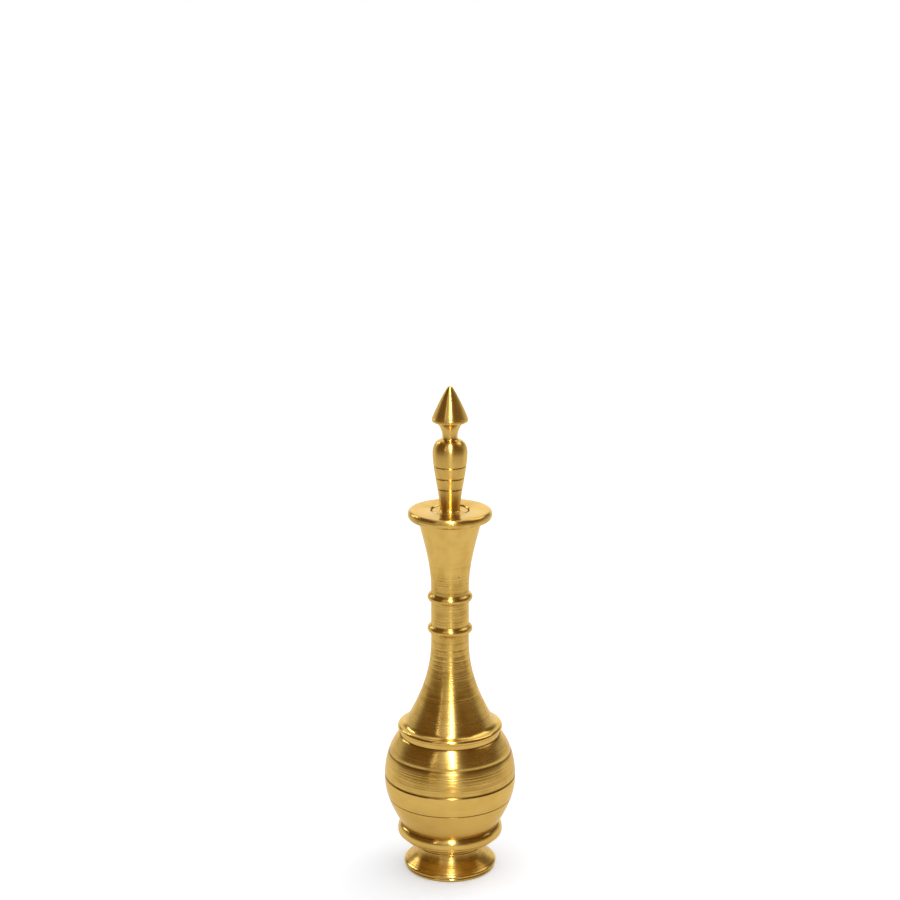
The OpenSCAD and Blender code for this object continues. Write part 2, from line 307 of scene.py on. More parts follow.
class StudioLook(bpy.types.PropertyGroup):
    """The floor, the lamps and the camera."""

    floor_colour: colour("Floor", "Colour of the floor", (0.96, 0.96, 0.96))
    floor_lift: colour("Floor lift", "Light that the floor adds to the picture", (0.14, 0.165, 0.2))
    room_colour: colour("Room", "Colour of the dim room that the metal shows", (0.17, 0.095, 0.018))
    floor_size: length("Floor size", "Width of the floor", 9000.0)
    sky_light: number("Sky light", "Strength of the soft light from all round", 0.95)
    strip_power: number("Strip power", "Power of the tall strip lamp, in watts", 22.0, 100.0)
    key_power: number("Key power", "Power of the wide lamp behind, in watts", 2.0, 100.0)
    camera_pitch: FloatProperty(
        name="View angle", description="How far the camera looks down on the container",
        default=math.radians(19.4), unit="ROTATION",
    )
    camera_distance: length("Camera distance", "Distance of the camera from the container", 572.0)
    focal_length: number("Focal length", "Focal length of the camera, in millimetres", 85.4, 500.0)
    foot_line: FloatProperty(
        name="Foot line", description="How high in the picture the foot stands",
        default=0.0415, min=0.0, max=1.0, subtype="FACTOR",
    )
    turn_steps: IntProperty(
        name="Turn steps", description="Number of steps round a turned piece", default=140, min=24
    )


class Outline:
    """Half of a turned shape, as points of radius and height, given in millimetres."""

    def __init__(self, r, z):
        self.points = []
        self.line(r, z)

    def line(self, r, z):
        """Goes straight to a point."""
        self.points.append(Vector((r * MM, 0.0, z * MM)))
        return self

    def curve(self, pull_a, pull_b, end, steps=16):
        """Goes to a point on a cubic curve, drawn towards two others on the way."""
        knots = [Vector((r * MM, 0.0, z * MM)) for r, z in (pull_a, pull_b, end)]
        self.points += interpolate_bezier(self.points[-1], *knots, steps + 1)[1:]
        return self

    def arc(self, r, z, radius, start, stop, steps=10):
        """Goes round a centre, from one angle to another in degrees."""
        for i in range(steps + 1):
            angle = math.radians(start + (stop - start) * i / steps)
            self.line(r + radius * math.cos(angle), z + radius * math.sin(angle))
        return self

    def fine(self, low, high, spacing):
        """Puts extra points between two heights, so that grooves and threads can be cut there."""
        kept = [self.points[0]]
        for a, b in zip(self.points, self.points[1:]):
            inside = max(a.z, b.z) > low * MM and min(a.z, b.z) < high * MM
            count = math.ceil((b - a).length / (spacing * MM)) if inside else 1
            kept += [a.lerp(b, i / count) for i in range(1, count + 1)]
        self.points = kept
        return self

    def groove(self, z, over, under, depth):
        """Cuts a groove at a height, with an upper flank over long and a lower one under long."""
        self.fine(z - under, z + over, min(over, under) / POINTS_ON_FLANK)
        for p in self.points:
            away = p.z / MM - z
            away = away / over if away > 0.0 else -away / under
            if away < 1.0:
                p.x -= depth * MM * (1.0 - away) ** FLANK_CURVE
        return self


def turned(name, outline, steps, base=0.0, flipped=False):
    """Spins a closed outline about the axis and returns the mesh being made."""
    bm = bmesh.new()
    sign = -1.0 if flipped else 1.0
    verts = [bm.verts.new((p.x, 0.0, base + sign * p.z)) for p in outline.points]
    edges = [bm.edges.new(pair) for pair in zip(verts, verts[1:])]
    if outline.points[0].x > 0.0:
        edges.append(bm.edges.new((verts[-1], verts[0])))
    bmesh.ops.spin(
        bm, geom=verts + edges, cent=(0, 0, 0), axis=(0, 0, 1), dvec=(0, 0, 0),
        angle=math.tau, steps=steps, use_merge=True, use_duplicate=False,
    )
    bmesh.ops.remove_doubles(bm, verts=bm.verts, dist=MERGE_DISTANCE)
    bmesh.ops.recalc_face_normals(bm, faces=bm.faces)
    return bm


def cut_thread(bm, wall, low, high, pitch, height, phase=0.0, width=1.0, round_crest=True):
    """Raises a helical ridge on a plain round wall. A negative height raises it inwards, and width
    is the part of the pitch that the ridge takes up."""
    for v in bm.verts:
        r = math.hypot(v.co.x, v.co.y)
        if abs(r - wall) > WALL_TOLERANCE or not low <= v.co.z <= high:
            continue
        turn = math.atan2(v.co.y, v.co.x) / math.tau
        away = abs(((v.co.z - low) / pitch - turn + phase + 0.5) % 1.0 - 0.5) * 2 / width
        if away >= 1.0:
            continue
        ridge = math.sqrt(1.0 - away * away) if round_crest else 1.0 - away
        run_out = min(1.0, (v.co.z - low) / THREAD_RUN_OUT, (high - v.co.z) / THREAD_RUN_OUT)
        scale = (r + height * ridge * max(run_out, 0.0)) / r
        v.co.x *= scale
        v.co.y *= scale


def finished(bm, name, body, node, material):
    """Turns a mesh into a smooth piece that rides on its body and stands for its node."""
    mesh = bpy.data.meshes.new(name)
    bm.to_mesh(mesh)
    bm.free()
    mesh.polygons.foreach_set("use_smooth", [True] * len(mesh.polygons))
    mesh.set_sharp_from_angle(angle=SHARP_ANGLE)
    mesh.materials.append(material)
    piece = bpy.data.objects.new(name, mesh)
    bpy.context.scene.collection.objects.link(piece)
    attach(piece, body)
    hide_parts(node)
    return piece


class Tree:
    """A small helper that adds nodes to a node tree and links them."""

    def __init__(self, tree):
        self.tree = tree
        tree.nodes.clear()

    def fill(self, socket, value):
        """Links a socket to another, or gives it a constant."""
        if isinstance(value, bpy.types.NodeSocket):
            self.tree.links.new(value, socket)
        else:
            socket.default_value = value

    def node(self, kind, inputs=(), **settings):
        """Adds a node, sets its settings, and fills its inputs by name or number."""
        made = self.tree.nodes.new(kind)
        for key, value in settings.items():
            setattr(made, key, value)
        for key, value in dict(inputs).items():
            self.fill(made.inputs[key], value)
        return made

    def math(self, operation, a, b=0.0, c=0.0, clamp=False):
        """Adds a Math node and returns its result."""
        made = self.node(
            "ShaderNodeMath", {0: a, 1: b, 2: c}, operation=operation, use_clamp=clamp
        )
        return made.outputs[0]

    def step(self, value, low, high):
        """Rises smoothly from 0 to 1 between two values."""
        made = self.node(
            "ShaderNodeMapRange", {"Value": value, "From Min": low, "From Max": high},
            interpolation_type="SMOOTHSTEP",
        )
        return made.outputs["Result"]

    def fall(self, value, low, high):
        """Falls smoothly from 1 to 0 between two values."""
        return self.math("SUBTRACT", 1.0, self.step(value, low, high))

    def mix(self, factor, a, b):
        """Mixes two colours."""
        made = self.node("ShaderNodeMix", data_type="RGBA")
        for socket, value in ((0, factor), (6, a), (7, b)):
            self.fill(made.inputs[socket], value)
        return made.outputs[2]


def rgba(value):
    """A colour with full alpha."""
    return (*value, 1.0)


def grey(level):
    """A plain grey."""
    return (level, level, level, 1.0)


def height_ramp(t, height, marks):
    """Strength of the turning marks, which changes between the given heights."""
    low, high = marks[0][0], marks[-1][0]
    level = t.node("ShaderNodeMapRange", {"Value": height, "From Min": low, "From Max": high})
    ramp = t.node("ShaderNodeValToRGB", {0: level.outputs[0]})
    elements = ramp.color_ramp.elements
    while len(elements) < len(marks):
        elements.new(0.5)
    for element, (z, value) in zip(elements, marks):
        element.position = (z - low) / (high - low)
        element.color = grey(value)
    return ramp.outputs["Color"]


def dark_lines(t, height, grooves):
    """Grimy film and painted shade in the grooves, from 0 to 1. Each groove is its height and half
    its width.
    """
    dirt_and_shade = 0.0
    for z, half in grooves:
        near = t.math("ABSOLUTE", t.math("SUBTRACT", height, z))
        dirt_and_shade = t.math("MAXIMUM", dirt_and_shade, t.fall(near, half * DIRT_AND_SHADE_CORE, half))
    return dirt_and_shade


def small_pits(t, place, spacing, share, crowd):
    """Small round pits, from 0 to 1. share is the part of the places for a pit that have one, and
    crowd brings the places closer together."""
    cells = t.node("ShaderNodeTexVoronoi", {"Vector": place, "Scale": crowd / spacing})
    pick = t.node("ShaderNodeSeparateColor", {0: cells.outputs["Color"]}).outputs[0]
    pit = t.fall(cells.outputs["Distance"], PIT_CORE * crowd, PIT_EDGE * crowd)
    return t.math("MULTIPLY", pit, t.math("GREATER_THAN", pick, 1.0 - share))


def turned_brass(
    name, finish, marks, grooves=(), pits=0.5, crowd=1.0, satin=0.0, paleness_and_sheen=0.0, hollow=None
):
    """Brass off the lathe. marks gives the strength of the turning marks at heights in metres,
    grooves gives the height and half width of each dark line, which is grimy film together with
    painted shade, pits and crowd are as in small_pits, satin adds roughness, paleness lightens the
    colour, and hollow gives the radius and the bottom of an inside that is coarser, duller and
    paler, where the paler tone is a painted highlight, weaker on the wall."""
    material = bpy.data.materials.new(name)
    material.use_nodes = True
    t = Tree(material.node_tree)
    place = t.node("ShaderNodeTexCoord").outputs["Object"]
    height = t.node("ShaderNodeSeparateXYZ", {0: place}).outputs["Z"]
    flat = t.node("ShaderNodeVectorMath", {0: place, 1: (1, 1, 0)}, operation="MULTIPLY").outputs[0]
    radius = t.node("ShaderNodeVectorMath", {0: flat}, operation="LENGTH").outputs["Value"]
    around = t.node("ShaderNodeVectorMath", {0: flat}, operation="NORMALIZE").outputs[0]
    around = t.node("ShaderNodeSeparateXYZ", {0: around})

    def rings(per_metre, drift, detail=1.0):
        """Noise in rings round the axis, which change slowly on the way round."""
        vector = t.node("ShaderNodeCombineXYZ", {
            0: t.math("MULTIPLY", height, per_metre),
            1: t.math("MULTIPLY", radius, per_metre),
            2: t.math("MULTIPLY", around.outputs["X"], drift),
        }).outputs[0]
        return t.node("ShaderNodeTexNoise", {
            "Vector": vector, "W": t.math("MULTIPLY", around.outputs["Y"], drift),
            "Scale": 1.0, "Detail": detail, "Roughness": 0.55,
        }, noise_dimensions="4D").outputs["Fac"]

    strength = height_ramp(t, height, marks)
    coarse, fine, hair = rings(*COARSE_RINGS), rings(*FINE_RINGS), rings(*HAIR_RINGS)
    patches = rings(*PATCH_RINGS, detail=2.0)
    smears = t.node("ShaderNodeTexNoise", {
        "Vector": place, "Scale": SMEAR_SCALE, "Detail": 3.0, "Roughness": 0.6,
    }).outputs["Fac"]
    drawn_out = finish.anisotropy
    if hollow:
        inside = t.math("LESS_THAN", radius, hollow[0])
        inside = t.math("MULTIPLY", inside, t.math("GREATER_THAN", height, hollow[1]))
        risen = t.step(height, hollow[1] + WALL_RISE[0], hollow[1] + WALL_RISE[1])
        on_wall = t.math("MULTIPLY", inside, risen)
        strength = t.math("MULTIPLY_ADD", inside, HOLLOW_MARKS, strength)
        # Painted highlight: the hollow's inside is made paler, its wall less so
        paleness_and_sheen = t.math("MULTIPLY", inside, HOLLOW_SHEEN)
        paleness_and_sheen = t.math("MULTIPLY_ADD", on_wall, WALL_SHEEN, paleness_and_sheen)
        drawn_out = t.math("MULTIPLY_ADD", on_wall, WALL_ANISOTROPY, drawn_out)

    worn = t.math("MULTIPLY_ADD", t.step(patches, *PATCH_EDGE), 0.5, 0.5)
    worn = t.math("MULTIPLY", strength, worn)
    scored = t.math("MULTIPLY_ADD", t.fall(coarse, *COARSE_EDGE), 0.5, t.fall(fine, *FINE_EDGE))
    scored = t.math("MULTIPLY", scored, t.math("MULTIPLY", worn, SCORE_DARKNESS), clamp=True)
    # Dark lines in the grooves: grimy film together with painted shade
    dirt_and_shade = dark_lines(t, height, grooves)
    pit = small_pits(t, place, finish.pit_spacing, pits, crowd)
    pit = t.math("MULTIPLY", pit, t.step(strength, *PITTED_EDGE))
    if hollow:
        seldom = t.math("MULTIPLY_ADD", inside, 1.0 - PITS_OUTSIDE, PITS_OUTSIDE)
        pit = t.math("MULTIPLY", pit, seldom)
    dark = t.math("MULTIPLY", dirt_and_shade, DIRT_AND_SHADE_DARKNESS)
    dark = t.math("MAXIMUM", t.math("MULTIPLY", pit, PIT_DARKNESS), dark)
    dark = t.math("MAXIMUM", dark, scored)

    tarnish = t.math("MULTIPLY_ADD", smears, 0.35, t.math("MULTIPLY", patches, 0.65))
    dull = t.math("MULTIPLY_ADD", strength, 0.6, 0.4)
    tarnish = t.math("MULTIPLY", t.step(tarnish, *TARNISH_EDGE), dull)
    base = t.mix(tarnish, rgba(finish.bright), rgba(finish.warm))
    # A paler tone: a painted highlight inside a hollow, plain lightening elsewhere
    base = t.mix(paleness_and_sheen, base, rgba(finish.pale_and_sheen))
    # Dark film of pits and marks, with painted shade in the grooves, laid over the base colour
    base = t.mix(dark, base, rgba(finish.grime_and_shade))

    smooth = finish.polish + satin - HAIR_ROUGHNESS / 2
    rough = t.math("MULTIPLY_ADD", strength, finish.coarseness, smooth)
    rough = t.math("MULTIPLY_ADD", hair, HAIR_ROUGHNESS, rough)
    rough = t.math("MULTIPLY_ADD", dark, DARK_ROUGHNESS, rough, clamp=True)
    if hollow:
        rough = t.math("MULTIPLY_ADD", inside, HOLLOW_ROUGHNESS, rough)
        rough = t.math("MULTIPLY_ADD", on_wall, WALL_ROUGHNESS, rough)

    relief = t.math("MULTIPLY", coarse, t.math("MULTIPLY_ADD", strength, *COARSE_RELIEF))
    relief = t.math("MULTIPLY_ADD", fine, t.math("MULTIPLY_ADD", strength, *FINE_RELIEF), relief)
    relief = t.math("MULTIPLY_ADD", hair, t.math("MULTIPLY_ADD", strength, *HAIR_RELIEF), relief)
    relief = t.math("SUBTRACT", relief, t.math("MULTIPLY", pit, PIT_RELIEF))
    bump = t.node("ShaderNodeBump", {
        "Height": relief, "Distance": finish.mark_depth, "Strength": 1.0,
    }).outputs[0]

    tangent = t.node("ShaderNodeTangent", direction_type="RADIAL", axis="Z")
    brass = t.node("ShaderNodeBsdfPrincipled", {
        "Base Color": base, "Metallic": 1.0, "Roughness": rough,
        "Anisotropic": drawn_out, "Anisotropic Rotation": 0.25,
        "Specular Tint": rgba(finish.glancing),
        "Coat Weight": finish.lacquer, "Coat Roughness": COAT_ROUGHNESS, "Coat Normal": bump,
        "Tangent": tangent.outputs[0], "Normal": bump,
    })
    t.node("ShaderNodeOutputMaterial", {"Surface": brass.outputs[0]})
    return material


def foot_outline(s):
    """The foot, from the middle of its underside round to the middle of its cup."""
    edge, waist, bead = s.edge_radius / MM, s.waist_radius / MM, s.bead_radius / MM
    waist_z, flange, seat, rim = s.waist_height / MM, FLANGE_R / MM, SEAT_Z / MM, RIM_Z / MM
    cup, cup_z, root = s.cup_radius / MM, rim - s.cup_depth / MM, s.root_radius / MM
    line = Outline(0.0, 0.0).line(edge - 1.0, 0.0)
    line.arc(edge - 0.75, 0.5, 0.5, -85, 50, 8)
    line.line(edge - 0.42, 0.98)
    line.arc(edge - 0.5, 1.4, 0.5, -50, 60, 8)
    line.line(edge - 0.6, 1.98)
    line.curve((edge - 2.4, 3.2), (waist + 0.2, 4.1), (waist, waist_z - 0.05), 20)
    line.arc(bead - 0.33, waist_z + 0.33, 0.33, -110, 70, 8)
    line.line(bead - 0.2, waist_z + 0.7)
    line.arc(bead - 0.1, waist_z + 1.0, 0.3, -60, 50, 6)
    line.line(bead + 0.05, waist_z + 1.3)
    under_flange = (flange - 0.6, seat - 1.05)
    line.curve((bead + 0.7, waist_z + 1.45), (flange - 1.9, seat - 1.7), under_flange, 12)
    line.arc(flange - 0.5, seat - 0.5, 0.5, -55, 90)
    line.line(root + 0.4, seat).line(root + 0.3, seat + 0.15).line(root, seat + 0.45)
    line.line(root, rim - 0.45).line(root + 0.25, rim - 0.3).line(root + 0.2, rim - 0.08)
    line.line(root, rim).line(cup + 0.2, rim).line(cup, rim - 0.2)
    line.arc(cup - 0.9, cup_z + 0.9, 0.9, 0, -90)
    line.curve((cup * 0.6, cup_z), (cup * 0.4, cup_z - 0.05), (0.0, cup_z - 0.06), 6)
    return line.fine(seat + 0.45, rim - 0.45, 0.12)


def bottle_outline(s):
    """The bottle, up its outside from the seat and back down its inside."""
    ring, low, bulb = s.ring_radius / MM, s.low_radius / MM, BULB_R / MM - 0.03
    shoulder, collar, cone = s.shoulder_radius / MM, s.collar_radius / MM, s.cone_radius / MM
    neck, bead, trumpet = s.neck_radius / MM, s.neck_ring_radius / MM, s.trumpet_radius / MM
    mouth, socket, bore = s.mouth_radius / MM, s.socket_radius / MM, s.bore_radius / MM
    low_bore, wall = s.low_bore_radius / MM, s.wall / MM
    top = (MOUTH_Z - SEAT_Z) / MM
    under = top - s.flange_thickness / MM
    line = Outline(low_bore + 0.2, 0.0).line(ring - 0.7, 0.0)
    line.arc(ring - 0.7, 0.7, 0.7, -85, 0, 8)
    line.curve((ring, 2.0), (ring - 0.35, 2.55), (low + 0.25, 2.82), 10)
    line.curve((low + 0.05, 2.9), (low, 3.0), (low + 0.06, 3.15), 4)
    line.curve((low + 2.15, 7.0), (bulb, 11.1), (bulb, BULB_MIDDLE), 28)
    line.curve((bulb, 20.5), (shoulder + 3.1, 25.3), (shoulder, SHOULDER_Z), 28)
    for cut in BULB_CUTS:
        line.groove(*cut)
    line.line(shoulder - 0.3, 28.76).line(shoulder - 0.18, 28.84)
    line.line(shoulder - 0.12, 29.98).line(shoulder - 0.25, 30.08).line(collar - 0.2, 30.17)
    line.arc(collar - 0.72, COLLAR_Z, 0.72, -36, 76, 12)
    line.curve((collar - 1.0, 31.38), (cone + 0.7, 31.45), (cone + 0.2, 32.1), 10)
    line.curve((cone + 0.05, 32.25), (cone, 32.34), (cone - 0.04, CONE_Z), 3)
    line.curve((cone - 4.1, 39.8), (neck, 46.5), (neck, NECK_Z), 34)
    for score in SCORES:
        line.groove(*score)
    for ring_z in NECK_RINGS:
        line.line(neck, ring_z - 1.3)
        line.curve((neck, ring_z - 1.15), (neck, ring_z - 1.1), (neck + 0.12, ring_z - 1.02), 3)
        line.arc(bead - 1.05, ring_z, 1.05, -68, 68, 14)
        line.curve((neck, ring_z + 1.05), (neck, ring_z + 1.15), (neck, ring_z + 1.3), 3)
    line.line(neck, TRUMPET_Z)
    line.curve((neck, 76.6), (trumpet - 1.2, 83.2), (trumpet - 0.05, under - 0.35), 26)
    line.curve((trumpet + 0.1, under), (trumpet + 0.7, under), (mouth - 1.4, under), 6)
    line.arc(mouth - 1.4, under + 1.4, 1.4, -84, -4, 10)
    line.arc(mouth - 1.0, top - 1.0, 1.0, 4, 82, 10)
    line.line(mouth - 1.05, top).line(socket + 0.35, top).line(socket + 0.2, top - 0.06)
    line.line(socket, top - 0.3).line(socket, top - SOCKET_DEPTH)
    line.line(bore + 0.1, top - SOCKET_DEPTH).line(bore, top - SOCKET_DEPTH - 0.1)
    line.line(bore, CHAMBER_TOP)
    line.curve((bore + 1.5, 33.3), (shoulder - 4.8, 32.3), (shoulder - wall, 28.3), 10)
    line.curve((shoulder + 0.2, 24.3), (bulb - wall, 20.2), (bulb - wall, BULB_MIDDLE), 8)
    line.curve((bulb - wall, 11.7), (low_bore + 1.2, 7.9), (low_bore - 0.6, LOW_BORE_END), 8)
    line.line(low_bore, LOW_BORE_END).line(low_bore, 0.2)
    line.fine(top - MOUTH_THREAD[0], top - 0.6, 0.14)
    return line


def stopper_outline(s):
    """The stopper, from its tip down to its nose and back up the rod's bore. Its heights are
    distances below the tip."""
    finial, throat, body = s.finial_radius / MM, s.throat_radius / MM, s.baluster_radius / MM
    waist, root, plug = s.waist_radius / MM, s.root_radius / MM, PLUG_R / MM
    bore_end = (TIP_Z - ROD_HIGH_Z) / MM
    line = Outline(0.0, 0.25)
    line.curve((0.4, 0.25), (0.65, 0.4), (0.85, 0.75), 5)
    line.curve((1.9, 2.4), (finial - 0.95, 6.2), (finial - 0.12, 8.45), 16)
    line.arc(finial - 0.4, 8.85, 0.4, -45, 0, 5)
    line.arc(finial - 0.4, 9.25, 0.4, 0, 75, 6)
    line.line(finial - 0.75, 9.75)
    line.curve((finial - 1.7, 10.1), (throat, 11.6), (throat, THROAT_T), 16)
    line.curve((throat, 14.5), (throat + 0.5, 14.5), (throat + 0.9, 14.6), 6)
    line.curve((body - 0.5, 15.0), (body, 16.6), (body, SHOULDER_T), 12)
    line.curve((body, 22.0), (waist + 0.5, 27.6), (waist, WAIST_T), 26)
    for cut in GRIP_CUTS:
        line.groove(*cut)
    line.curve((waist, 33.5), (waist + 0.3, PLUG_T), (waist + 0.6, PLUG_T), 5)
    line.line(plug - 0.4, PLUG_T)
    line.arc(plug - 0.35, 33.95, 0.35, -90, 0, 5)
    line.arc(plug - 0.35, 34.2, 0.35, 0, 60, 4)
    line.line(root, THREAD_T[0]).line(root, THREAD_T[1])
    line.line(plug - 0.7, 37.45)
    line.arc(plug - 0.5, 37.95, 0.5, -60, 0, 5)
    line.arc(plug - 0.9, 39.2, 0.9, 0, 80, 8)
    line.curve((plug - 1.5, 40.05), (2.2, 40.0), (1.75, 41.2), 10)
    line.curve((1.45, 42.0), (1.38, 42.6), (1.36, NOSE_T), 6)
    line.line(ROD_BORE, NOSE_T).line(ROD_BORE, bore_end).line(0.0, bore_end)
    return line.fine(*THREAD_T, 0.12)


def rod_outline(s):
    """The rod, from its point up to its end inside the stopper."""
    rod, bead, point = s.radius / MM, BEAD_R / MM, s.point / MM
    end = (ROD_HIGH_Z - ROD_LOW_Z) / MM
    line = Outline(0.0, 0.0)
    line.curve((0.15, 0.0), (0.25, 0.05), (0.32, 0.2), 5)
    line.curve((0.8, 1.6), (bead, point - 2.0), (bead, point - 0.5), 14)
    line.curve((bead, point + 0.5), (rod + 0.25, point + 1.0), (rod, point + 2.1), 12)
    line.line(rod, end - 0.2).fine(point + 2.1, end, 3.0)
    return line.line(rod - 0.2, end).line(0.0, end)


def above(z):
    """Height above the bottle's seat in millimetres, as metres above the floor."""
    return SEAT_Z + z * MM


def below(t):
    """Distance below the stopper's tip in millimetres, as metres above the floor."""
    return TIP_Z - t * MM


class KOHL_OT_foot(bpy.types.Operator):
    """Turn the spool foot with its cup and cut its thread"""

    bl_idname = "kohl.foot"
    bl_label = "Foot"

    def execute(self, context):
        s = context.scene.kohl_foot
        bm = turned("foot", foot_outline(s), context.scene.kohl_studio.turn_steps)
        cut_thread(
            bm, s.root_radius, SEAT_Z, RIM_Z - 0.4 * MM, s.thread_pitch, s.thread_height, phase=0.35
        )
        marks = [(z * MM, strength) for z, strength in FOOT_MARKS]
        marks += [(RIM_Z - 1.0 * MM, 0.6), (RIM_Z, 0.4)]
        # Dark lines at the foot's low step and above its bead: grimy film together with painted
        # shade
        grooves = [(0.98 * MM, 0.16 * MM), (s.waist_height + 0.68 * MM, 0.15 * MM)]
        # The cup's inside: coarser marks, more roughness and a painted highlight
        hollow = (s.cup_radius + 0.05 * MM, RIM_Z - s.cup_depth - 0.2 * MM)
        material = turned_brass(
            "foot brass", context.scene.kohl_finish, marks, grooves,
            pits=0.6, crowd=1.8, hollow=hollow,
        )
        finished(bm, "foot_turned", "foot", "foot", material)
        return {"FINISHED"}


class KOHL_OT_bottle(bpy.types.Operator):
    """Turn the bottle with its bulb, neck and hollow, and cut the thread in its mouth"""

    bl_idname = "kohl.bottle"
    bl_label = "Bottle"

    def execute(self, context):
        s, stopper = context.scene.kohl_bottle, context.scene.kohl_stopper
        steps = context.scene.kohl_studio.turn_steps
        bm = turned("bottle", bottle_outline(s), steps, base=SEAT_Z)
        low, high = (MOUTH_Z - depth * MM for depth in MOUTH_THREAD)
        cut_thread(
            bm, s.socket_radius, low, high, stopper.thread_pitch, -0.85 * MM, phase=0.2, width=0.4
        )
        marks = [(above(z), strength) for z, strength in BOTTLE_MARKS] + [(MOUTH_Z, MOUTH_MARKS)]
        grooves = [(above(z), half * MM) for z, half in BOTTLE_DIRT_AND_SHADE]
        material = turned_brass("bottle brass", context.scene.kohl_finish, marks, grooves, pits=0.4)
        finished(bm, "bottle_turned", "bottle", "bottle", material)
        return {"FINISHED"}


class KOHL_OT_stopper(bpy.types.Operator):
    """Turn the stopper with its finial, baluster grip and threaded plug"""

    bl_idname = "kohl.stopper"
    bl_label = "Stopper"

    def execute(self, context):
        s = context.scene.kohl_stopper
        bm = turned("stopper", stopper_outline(s), STOPPER_STEPS, base=TIP_Z, flipped=True)
        high, low = (below(t) for t in THREAD_T)
        cut_thread(
            bm, s.root_radius, low, high, s.thread_pitch, s.thread_height, phase=0.5, width=0.5
        )
        marks = [(below(t), strength) for t, strength in STOPPER_MARKS]
        grooves = [(below(t), half * MM) for t, half in STOPPER_DIRT_AND_SHADE]
        material = turned_brass(
            "stopper brass", context.scene.kohl_finish, marks, grooves, pits=0.2, satin=0.09
        )
        finished(bm, "stopper_turned", "stopper", "stopper", material)
        return {"FINISHED"}


class KOHL_OT_rod(bpy.types.Operator):
    """Turn the applicator rod with its pointed bead"""

    bl_idname = "kohl.rod"
    bl_label = "Rod"

    def execute(self, context):
        s = context.scene.kohl_rod
        bm = turned("rod", rod_outline(s), ROD_STEPS, base=ROD_LOW_Z)
        marks = [(ROD_LOW_Z, 0.05), (ROD_HIGH_Z, 0.1)]
        material = turned_brass(
            "rod brass", context.scene.kohl_finish, marks, pits=0.0, satin=0.07, paleness_and_sheen=0.33
        )
        finished(bm, "rod_turned", "rod", "rod", material)
        return {"FINISHED"}


class KOHL_OT_stage(bpy.types.Operator):
    """Lay the floor, hang the lamps and place the camera"""

    bl_idname = "kohl.stage"
    bl_label = "Stage"

    def execute(self, context):
        look = context.scene.kohl_studio
        lay_floor(look)
        light_room(look)
        hang_lamps(look)
        place_camera(look)
        context.scene.view_settings.view_transform = "Standard"
        return {"FINISHED"}


def lay_floor(look):
    """A plain pale floor that keeps the container's shadow. The metal sees it grow dim far off."""
    bm = bmesh.new()
    bmesh.ops.create_grid(bm, x_segments=1, y_segments=1, size=look.floor_size / 2)
    mesh = bpy.data.meshes.new("floor")
    bm.to_mesh(mesh)
    bm.free()
    floor = bpy.data.objects.new("floor", mesh)
    bpy.context.scene.collection.objects.link(floor)
    material = bpy.data.materials.new("pale floor")
    material.use_nodes = True
    t = Tree(material.node_tree)
    place = t.node("ShaderNodeTexCoord").outputs["Object"]
    away = t.node("ShaderNodeVectorMath", {0: place}, operation="LENGTH").outputs["Value"]
    in_front = t.math("MULTIPLY", t.node("ShaderNodeSeparateXYZ", {0: place}).outputs["Y"], -1.0)
    in_front = t.step(t.math("DIVIDE", in_front, away), *FLOOR_FRONT)
    far = t.math("MULTIPLY", t.step(away, *FLOOR_FAR), in_front)
    ray = t.node("ShaderNodeLightPath")
    dim = t.math("MULTIPLY", far, ray.outputs["Is Glossy Ray"])
    tint = t.mix(dim, rgba(look.floor_colour), rgba(look.room_colour))
    paint = t.node("ShaderNodeBsdfDiffuse", {"Color": tint})
    lift = t.mix(ray.outputs["Is Camera Ray"], grey(0.0), rgba(look.floor_lift))
    glow = t.node("ShaderNodeEmission", {"Color": lift})
    surface = t.node("ShaderNodeAddShader", {0: paint.outputs[0], 1: glow.outputs[0]})
    t.node("ShaderNodeOutputMaterial", {"Surface": surface.outputs[0]})
    mesh.materials.append(material)


